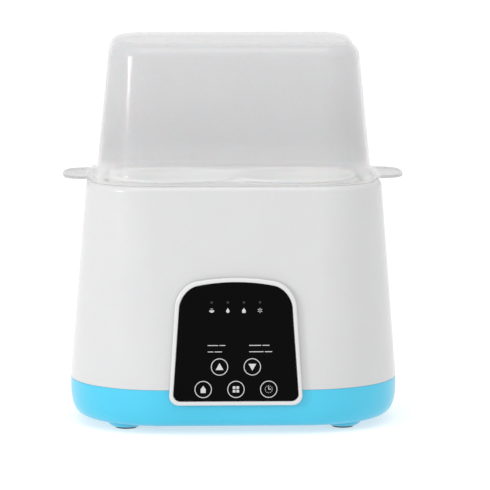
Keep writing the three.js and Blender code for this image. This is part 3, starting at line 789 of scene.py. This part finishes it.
def lid_angles():
    """Directions from the axis, closest together where the lid's outline turns."""
    wall = ring(lid_section(190), 0, 26)
    angles = []
    for (x0, y0, _), (x1, y1, _) in zip(wall, wall[1:] + wall[:1]):
        parts = max(1, round(math.hypot(x1 - x0, y1 - y0) / 2.5))
        angles += [math.atan2(y0 + (y1 - y0) * i / parts, x0 + (x1 - x0) * i / parts)
                   for i in range(parts)]
    return angles


def make_lid():
    """One moulding, skinned from the crown's inside down to the skirt and back up the outside."""
    angles = lid_angles()
    rings = []

    def add(radius_of, z, shrink=0.0):
        radii = [radius_of(a) - shrink for a in angles]
        rings.append([(r * math.cos(a), r * math.sin(a), z) for r, a in zip(radii, angles)])

    def add_section(section, z):
        add(lambda angle: section_radius(section, angle), z)

    crown = LID_HIGH.z
    inner_round = LID_ROUND - LID_WALL
    for out, up in reversed(arc(inner_round, 9)):
        z = crown - LID_WALL - inner_round + up
        add_section(lid_section(z, LID_WALL + inner_round - out), z)
    for z in (205, 190, 170, 158, FLANGE_TOP + 2):
        add_section(lid_section(z, LID_WALL), z)

    skirt = grow(TANK_MOUTH, -SKIRT_INSET)
    low = LID_LOW.z
    add_section(lid_section(FLANGE_TOP, LID_WALL + 1), FLANGE_TOP + 0.4)
    add_section(grow(skirt, -1.6), FLANGE_TOP - 0.8)
    for inset, z in ((1.6, low + 0.4), (1.2, low), (0.4, low), (0, low + 0.4)):
        add_section(grow(skirt, -inset), z)
    add_section(skirt, FLANGE_BOTTOM)

    for out, up in arc(FLANGE_UNDER_EDGE, 3, -90, 0):
        add(brim_radius, FLANGE_BOTTOM + FLANGE_UNDER_EDGE + up, FLANGE_UNDER_EDGE - out)
    for out, up in arc(FLANGE_UPPER_EDGE, 6):
        add(brim_radius, FLANGE_TOP - FLANGE_UPPER_EDGE + up, FLANGE_UPPER_EDGE - out)

    for out, up in reversed(arc(LID_FILLET, 8)):
        z = FLANGE_TOP + LID_FILLET - up
        add_section(lid_section(z, out - LID_FILLET), z)
    for z in (158, 165, 175, 190, 205, 215):
        add_section(lid_section(z), z)
    for out, up in arc(LID_ROUND, 12):
        z = crown - LID_ROUND + up
        add_section(lid_section(z, LID_ROUND - out), z)

    lid = piece("lid_moulding", *skin(rings, closed=False), look="frosted_lid", body="lid",
                replaces=["lid"])
    lid.visible_shadow = False
    even_normals(lid)


# ---- Control panel ---------------------------------------------------------------------------


def make_bezel():
    """The white surround: rounded rim, seat for the lens, and the collar through the housing."""
    outer, inner, collar = 1.1, 0.4, -2.4
    levels = [(BEZEL_RIM, GAP)]
    levels += [(BEZEL_RIM - outer + out, BEZEL_FRONT - outer + up) for out, up in arc(outer, 6)]
    levels += [(GAP + inner - out, BEZEL_FRONT - inner + up) for out, up in reversed(arc(inner, 4))]
    levels += [(GAP, LENS_BACK - GAP), (collar, LENS_BACK - GAP), (collar, COLLAR_BACK),
               (-0.1, COLLAR_BACK), (-0.1, GAP)]
    bezel = piece("panel_surround", *panel_skin(levels, closed=True), look="white_bezel",
                  replaces=["panel_bezel"])
    even_normals(bezel)


def make_lens():
    """The black lens, with its front edge rounded."""
    edge = 0.35
    levels = [(0, LENS_BACK)]
    levels += [(out - edge, LENS_FRONT - edge + up) for out, up in arc(edge, 4)]
    lens = piece("panel_glass", *panel_skin(levels), look="black_lens", replaces=["touch_lens"])
    even_normals(lens)


PRINT_FROM = LENS_FRONT + 0.01
PRINT_TO = LENS_FRONT + 0.06


def flat(outline, x=0.0, y=0.0):
    """A printed patch on the lens from an outline in the panel's frame."""
    return skin([on_panel(outline, x, y, z) for z in (PRINT_FROM, PRINT_TO)], closed=False)


def circle(radius, sides=28, start=0.0, end=360.0):
    """Points round a circle, or along an arc with both its ends."""
    count = sides + (end - start < 360)
    angles = [math.radians(start + (end - start) * i / sides) for i in range(count)]
    return [(radius * math.cos(a), radius * math.sin(a)) for a in angles]


def hoop(outer, inner, x, y, sides=56):
    """A printed ring."""
    levels = ((outer, PRINT_FROM), (outer, PRINT_TO), (inner, PRINT_TO), (inner, PRINT_FROM))
    return skin([on_panel(circle(radius, sides), x, y, z) for radius, z in levels], closed=True)


def bar(width, height, x, y):
    """A printed dash with round ends, centred on x, y."""
    end = height / 2
    half = width / 2 - end
    right = [(half + u, v) for u, v in circle(end, 6, -90, 90)]
    return flat(right + [(-u, -v) for u, v in right], x, y)


def bottle_icon(x, y, size):
    half = [(0.32, -0.5), (0.36, -0.44), (0.36, 0.1), (0.2, 0.2), (0.2, 0.3), (0.09, 0.34),
            (0.06, 0.5)]
    outline = [(u * size, v * size) for u, v in half]
    return [flat(outline + [(-u, v) for u, v in reversed(outline)], x, y)]


def drop_icon(x, y, size):
    body = circle(0.34 * size, 20, -200, 20)
    outline = [(u, v - 0.14 * size) for u, v in body] + [(0.0, 0.52 * size)]
    return [flat(outline, x, y)]


def bowl_icon(x, y, size):
    outline = [(u, v + 0.05 * size) for u, v in circle(0.5 * size, 18, 180, 360)]
    return [flat(outline, x, y), bar(0.5 * size, 0.12 * size, x, y + 0.32 * size)]


def flake_icon(x, y, size):
    arms = []
    inner, outer, half = 0.13 * size, 0.5 * size, 0.055 * size
    for turn in range(6):
        angle = math.radians(90 + 60 * turn)
        along = Vector((math.cos(angle), math.sin(angle)))
        across = Vector((-math.sin(angle), math.cos(angle))) * half
        outline = [along * inner - across, along * outer - across,
                   along * outer + across, along * inner + across]
        arms.append(flat([tuple(p) for p in outline], x, y))
    return arms


def grid_icon(x, y, size):
    square = corners(0.2 * size, 0.2 * size)
    return [flat(square, x + across, y + up) for across, up in corners(0.27 * size, 0.27 * size)]


def clock_icon(x, y, size):
    dial = [(0.46 * size * math.cos(a), 0.46 * size * math.sin(a))
            for a in (math.radians(30 * i) for i in range(12))]
    ticks = [flat(circle(0.05 * size, 10), x + across, y + up) for across, up in dial]
    half, reached, raised = 0.045 * size, 0.3 * size, 0.36 * size
    hands = [(-half, -half), (reached, -half), (reached, half), (half, half), (half, raised),
             (-half, raised)]
    return ticks + [flat(hands, x, y)]


def make_print():
    """Rings, arrows and pictograms printed on the lens. The legends are plain dashes."""
    low = [(step * KEY_PITCH, KEY_ROW_LOW) for step in (-1, 0, 1)]
    high = [(step * KEY_PITCH, KEY_ROW_HIGH) for step in (-0.5, 0.5)]
    printed = [hoop(KEY_RADIUS, KEY_RADIUS - KEY_STROKE, x, y) for x, y in low + high]
    for (x, y), turn in zip(high, (1, -1)):
        arrow = [(-2.3, -1.8 * turn), (2.3, -1.8 * turn), (0, 2.3 * turn)]
        printed.append(flat(arrow[::turn], x, y))
    printed += bottle_icon(*low[0], 4.2) + grid_icon(*low[1], 4) + clock_icon(*low[2], 4.6)
    columns = [step * STATUS_PITCH for step in (-1.5, -0.5, 0.5, 1.5)]
    for x, icon in zip(columns, (bowl_icon, drop_icon, bottle_icon, flake_icon)):
        printed += icon(x, PROCESS_ROW, STATUS_ICON)
    legends = ((-16.7, ((6.2, 3.6), (3.4, 4.4))), (7.8, ((7.2, 4.2), (8.6, 4.4))))
    for start, rows in legends:
        for row, lengths in zip(LEGEND_ROWS, rows):
            x = start
            for length in lengths:
                printed.append(bar(length, LEGEND_HEIGHT, x + length / 2, row))
                x += length + LEGEND_SPACE
    piece("panel_print", *merged(printed), look=PRINT, slot=False)
    dots = [flat(circle(0.75, 18), x, STATUS_ROW) for x in columns]
    piece("status_windows", *merged(dots), look=DIM_PRINT, slot=False)


# ---- Tank and basket -------------------------------------------------------------------------


def make_tank():
    """The inner chamber: outside, flange, mouth and inside, with a hole for the heating plate."""
    edge, corner = 0.6, TANK_CORNER
    bottom = grow(TANK_BOTTOM, TANK_WALL)
    flange = grow(TANK_MOUTH, 5.6)
    low, top = TANK_LOW.z, TANK_HIGH.z
    flange_low = top - 1.7
    levels = [(grow(bottom, out - corner), low + corner - up)
              for out, up in reversed(arc(corner, 5))]
    levels += [(grow(TANK_MOUTH, TANK_WALL), flange_low), (flange, flange_low)]
    levels += [(grow(flange, out - edge), top - edge + up) for out, up in arc(edge, 3)]
    levels += [(grow(TANK_MOUTH, edge - out), top - edge + up)
               for out, up in reversed(arc(edge, 4))]
    bend = TANK_FLOOR + corner
    levels += [(between(TANK_BOTTOM, TANK_MOUTH, share), bend + (top - edge - bend) * share)
               for share in (0.75, 0.5, 0.25)]
    levels += [(grow(TANK_BOTTOM, out - corner), bend - up) for out, up in arc(corner, 5)]
    tank = piece("tank_liner", *loft(levels), look="tank_plastic", replaces=["water_tank"])
    combine(tank, [tool(loft([(PLATE_HOLE, 30), (PLATE_HOLE, 60)]))], "DIFFERENCE")
    even_normals(tank)


def make_deck():
    """The tray that carries both cups, with finger slots front and rear and a drain per corner."""
    edge = DECK_EDGE
    section = (DECK_HIGH.x, DECK_HIGH.y, DECK_CORNER)
    levels = [(grow(section, out - edge), DECK_BOTTOM + edge - up)
              for out, up in reversed(arc(edge, 3))]
    levels += [(grow(section, out - edge), DECK_TOP - edge + up) for out, up in arc(edge, 3)]
    deck = piece("basket_tray", *loft(levels), look="basket_plastic", body="basket",
                 replaces=["basket_deck"])
    low, high = DECK_BOTTOM - 1, DECK_TOP + 1
    cuts = [rod(CUP_OUTER + GAP, low, high, side * CUP_AXIS, 0, 96) for side in (-1, 1)]
    cuts.append(block(12, 24, 8, 0, 0, DECK_TOP))
    cuts += [upright(DRAIN, x, y, low, high) for x, y in corners(DRAIN_X, DRAIN_Y)]
    cuts += [upright(FINGER_SLOT, 0, side * FINGER_SLOT_Y, low, high) for side in (-1, 1)]
    cut_each(deck, cuts)
    even_normals(deck)


def make_cup(name, side):
    """A bottle cup that hangs by its rim, with holes in its floor and slots in its wall.

    side is -1 for the left cup and 1 for the right one. Their rims meet in a straight cut.
    """
    x = side * CUP_AXIS
    foot, top = CUP_LOW.z, CUP_HIGH.z
    hung = DECK_TOP + GAP
    outside = [(0, foot), (CUP_OUTER - 1.6, foot), (CUP_OUTER - 0.5, foot + 0.4),
               (CUP_OUTER, foot + 1.6), (CUP_OUTER, hung), (CUP_RIM - 0.3, hung),
               (CUP_RIM, hung + 0.3), (CUP_RIM, top - 0.5), (CUP_RIM - 0.15, top - 0.15),
               (CUP_RIM - 0.5, top)]
    inside = [(CUP_INNER + 1.1, top), (CUP_INNER + 0.4, top - 0.3), (CUP_INNER, top - 1),
              (CUP_INNER, CUP_FLOOR + 2), (CUP_INNER - 0.6, CUP_FLOOR + 0.6),
              (CUP_INNER - 2, CUP_FLOOR), (0, CUP_FLOOR)]
    cup = piece(f"{name}_moulded", *turned(outside + inside, x, 0, 96), look="basket_plastic",
                body="basket", replaces=[name])
    low, high = foot + 1, CUP_FLOOR + 3
    cuts = [rod(26, foot - 2, CUP_FLOOR - 1.8, x, 0, 64), rod(7, low, high, x, 0, 36),
            block(2, 40, 8, -side * (1 - GAP), 0, top)]
    for i in range(6):
        angle = math.radians(60 * i + 30)
        across, along = CUP_DRAIN_CIRCLE * math.cos(angle), CUP_DRAIN_CIRCLE * math.sin(angle)
        cuts.append(rod(5, low, high, x + across, along, 32))
    slot, faces = upright(CUP_SLOT, 0, 0, -6, 6)
    for turn in (-90 * side, 0, 180):
        around = (Matrix.Translation((x, 0, CUP_SLOT_Z))
                  @ Matrix.Rotation(math.radians(turn), 4, "Z")
                  @ Matrix.Translation((0, CUP_OUTER, 0)) @ Matrix.Rotation(math.pi / 2, 4, "X"))
        cuts.append(([tuple(around @ Vector(p)) for p in slot], faces))
    cut_each(cup, cuts)
    even_normals(cup)


# ---- Screws and springs ----------------------------------------------------------------------


def make_base_screws():
    """Pan-head screws with a cross recess, driven up into the tank's pillars."""
    head, shank, thread, pitch = 3.6, 1.7, 1.35, 1.1
    for node in frame["nodes"]:
        if not node.startswith("base_screw"):
            continue
        low, high = span(node)
        x, y = (low.x + high.x) / 2, (low.y + high.y) / 2
        under_head = low.z + 2.2
        first = under_head + 1
        outline = [(0, low.z), (head - 1.2, low.z), (head - 0.5, low.z + 0.25),
                   (head, low.z + 0.9), (head, under_head), (shank, under_head), (shank, first)]
        for i in range(int((high.z - 2 - first) / pitch)):
            z = first + i * pitch
            outline += [(thread, z + 0.2), (shank, z + 0.65), (shank, z + 0.8)]
        outline += [(thread, high.z - 1.6), (0, high.z)]
        screw = piece(f"{node}_threaded", *turned(outline, x, y, 28), look="zinc_steel",
                      replaces=[node])
        cut_each(screw, [block(4, 0.8, 2.4, x, y, low.z), block(0.8, 4, 2.4, x, y, low.z)])
        even_normals(screw)


def make_springs():
    """Conical coils of round wire between the display board and the back of the lens."""
    wire, narrow, wide = 0.3, 2.4, 3.5
    turns, sides, steps = 4, 8, 24
    count = turns * steps
    section = [2 * math.pi * k / sides for k in range(sides)]
    to_panel = PANEL.inverted()
    for node in frame["nodes"]:
        if not node.startswith("touch_spring"):
            continue
        points = [to_panel @ (v.co / MM) for v in frame["nodes"][node].data.vertices]
        low, high = min(p.z for p in points), max(p.z for p in points)
        x = (min(p.x for p in points) + max(p.x for p in points)) / 2
        y = (min(p.y for p in points) + max(p.y for p in points)) / 2
        rings = []
        for i in range(count + 1):
            share = i / count
            angle = 2 * math.pi * turns * share
            out = Vector((math.cos(angle), math.sin(angle), 0))
            climb = low + wire + (high - low - 2 * wire) * share
            centre = Vector((x, y, climb)) + out * (narrow + (wide - narrow) * share)
            around = [centre + out * (wire * math.cos(t)) + Vector((0, 0, wire * math.sin(t)))
                      for t in section]
            rings.append([tuple(PANEL @ point) for point in around])
        piece(f"{node}_coil", *skin(rings, closed=False), look="zinc_steel", replaces=[node])


# ---- CAD nodes that stay ---------------------------------------------------------------------


def dress_frame():
    """Every CAD node gets its record slot's look, whether or not a finer piece stands for it."""
    for entry in frame["record"]["subparts"]:
        thing = frame["nodes"][entry["node"]]
        dress(thing, entry["material_slot"])


# ---- Stage -----------------------------------------------------------------------------------


def add_lamp(name, kind, azimuth, elevation, distance, strength, **settings):
    """A light that looks at the object's middle from an azimuth and elevation in degrees.

    Azimuth 0 is straight in front, and a positive one is to the right.
    """
    light = bpy.data.lights.new(name, kind)
    light.energy = strength
    for setting, value in settings.items():
        setattr(light, setting, value)
    thing = bpy.data.objects.new(name, light)
    bpy.context.scene.collection.objects.link(thing)
    a, e = math.radians(azimuth), math.radians(elevation)
    back = Vector((math.sin(a) * math.cos(e), -math.cos(a) * math.cos(e), math.sin(e)))
    thing.location = Vector((0, 0, 0.15)) + back * distance
    thing.rotation_euler = (-back).to_track_quat("-Z", "Y").to_euler()


def make_stage():
    """A pale floor that glows a little, as a light table does, a white world and four lights."""
    size = 12
    mesh = bpy.data.meshes.new("floor")
    mesh.from_pydata([(x, y, 0) for x, y in corners(size, size)], [], [(0, 1, 2, 3)])
    floor = bpy.data.objects.new("floor", mesh)
    bpy.context.scene.collection.objects.link(floor)
    dress(floor, surface(
        "pale_floor", srgb(187, 187, 187), srgb(189, 189, 189), (0.7, 0.8), 60, 0.01, 0.02,
        Emission_Color=(1, 1, 1, 1), Emission_Strength=0.56))

    world = bpy.data.worlds.new("studio")
    world.use_nodes = True
    background = world.node_tree.nodes["Background"]
    background.inputs["Color"].default_value = (1, 1, 1, 1)
    background.inputs["Strength"].default_value = 0.87
    bpy.context.scene.world = world
    bpy.context.scene.view_settings.view_transform = "Standard"

    # Two wide soft suns shape the body, the small softbox makes the streak on the lid's left
    # corner, and the overhead light brightens everything that faces up.
    add_lamp("side_sun", "SUN", -42, 35, 3, 0.15, angle=math.radians(70))
    add_lamp("right_fill", "SUN", 72, 25, 3, 0.14, angle=math.radians(60))
    add_lamp("softbox", "AREA", -54, 13.3, 1.5, 5.8, shape="ELLIPSE", size=0.28, size_y=0.34)
    add_lamp("overhead", "AREA", -10, 72, 1.8, 10, shape="RECTANGLE", size=1.4, size_y=0.9)


def make_camera():
    """A long lens 2.3 m in front, turned a little to the left and looking slightly down.

    axis is the point that the object turns about in the picture. aim is beside it and below,
    so the object stands where it does in the photograph.
    """
    distance, height, turn = 2.3, 0.413, math.radians(1.47)
    place = Vector((-distance * math.sin(turn), -distance * math.cos(turn), height))
    axis = Vector((0, 0, 0.118))
    forward = (axis - place).normalized()
    right = forward.cross(Vector((0, 0, 1))).normalized()
    up = right.cross(forward)
    aim = axis + right * 0.00744 - up * 0.0132
    camera = bpy.data.cameras.new("camera")
    camera.lens = 280.5
    camera.clip_end = 60
    thing = bpy.data.objects.new("camera", camera)
    bpy.context.scene.collection.objects.link(thing)
    thing.location = place
    thing.rotation_euler = (aim - place).to_track_quat("-Z", "Y").to_euler()
    bpy.context.scene.camera = thing


dress_frame()
make_housing()
make_base()
make_gland()
make_feet()
make_lid()
make_bezel()
make_lens()
make_print()
make_tank()
make_deck()
make_cup("bottle_cup_left", -1)
make_cup("bottle_cup_right", 1)
make_base_screws()
make_springs()
make_stage()
make_camera()
